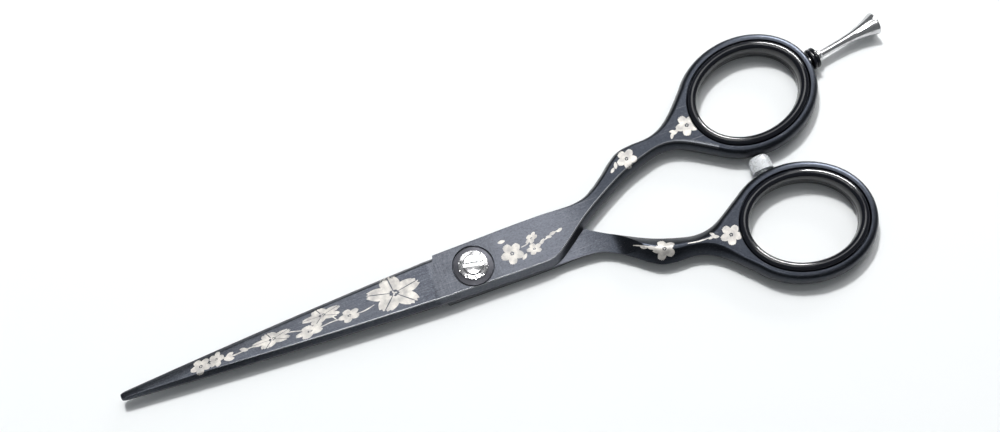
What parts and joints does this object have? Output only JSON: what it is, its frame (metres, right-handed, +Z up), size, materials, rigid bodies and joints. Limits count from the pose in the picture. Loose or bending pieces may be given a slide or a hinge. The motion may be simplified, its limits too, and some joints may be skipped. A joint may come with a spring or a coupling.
{
  "type": "hair cutting shears",
  "caption": "Slim pivoted hair cutting shears with oval finger rings, soft ring liners, a silencer between the rings, a slotted tension screw and a screw-in finger rest.",
  "frame": {"origin": "on the pivot axis, at the underside of the rear nut, which is the level the closed shears lie on", "axes": "+X from the pivot towards the finger rings, with the cutting tips at -X; +Y towards the finger ring; +Z up, along the pivot axis and out of the screw head"},
  "size_m": [0.1826, 0.0584, 0.0072],
  "materials": {
    "coated_steel": "satin blue-grey coating, brushed along the blade",
    "chrome": "polished",
    "spring_steel": "blackened",
    "black_rubber": "glossy",
    "frosted_rubber": "frosted, translucent",
    "bronze": "turned",
    "glide_plastic": "smooth"
  },
  "bodies": {
    "thumb_half": {"thumb_blade": "coated_steel", "thumb_ring_insert": "black_rubber", "bumper": "frosted_rubber", "rear_nut": "chrome", "glide_washer": "glide_plastic"},
    "finger_half": {"finger_blade": "coated_steel", "finger_ring_insert": "black_rubber", "pivot_bushing": "bronze", "disc_spring": "spring_steel", "rest_collar": "black_rubber"},
    "tension_screw": {"pivot_screw": "chrome"},
    "rest": {"finger_rest": "chrome"}
  },
  "joints": [
    {"name": "blade_pivot", "type": "hinge", "parent": "thumb_half", "child": "finger_half", "pos_m": [0, 0, 0.003], "axis": [0, 0, 1], "range_deg": [0, 70]},
    {"name": "screw_turn", "type": "hinge", "parent": "thumb_half", "child": "tension_screw", "pos_m": [0, 0, 0.00565], "axis": [0, 0, 1], "range_deg": [-90, 90]},
    {"name": "rest_turn", "type": "hinge", "parent": "finger_half", "child": "rest", "pos_m": [0.0701, 0.0155, 0.003], "axis": [0.9848, 0.1736, 0], "range_deg": [0, 360]}
  ]
}
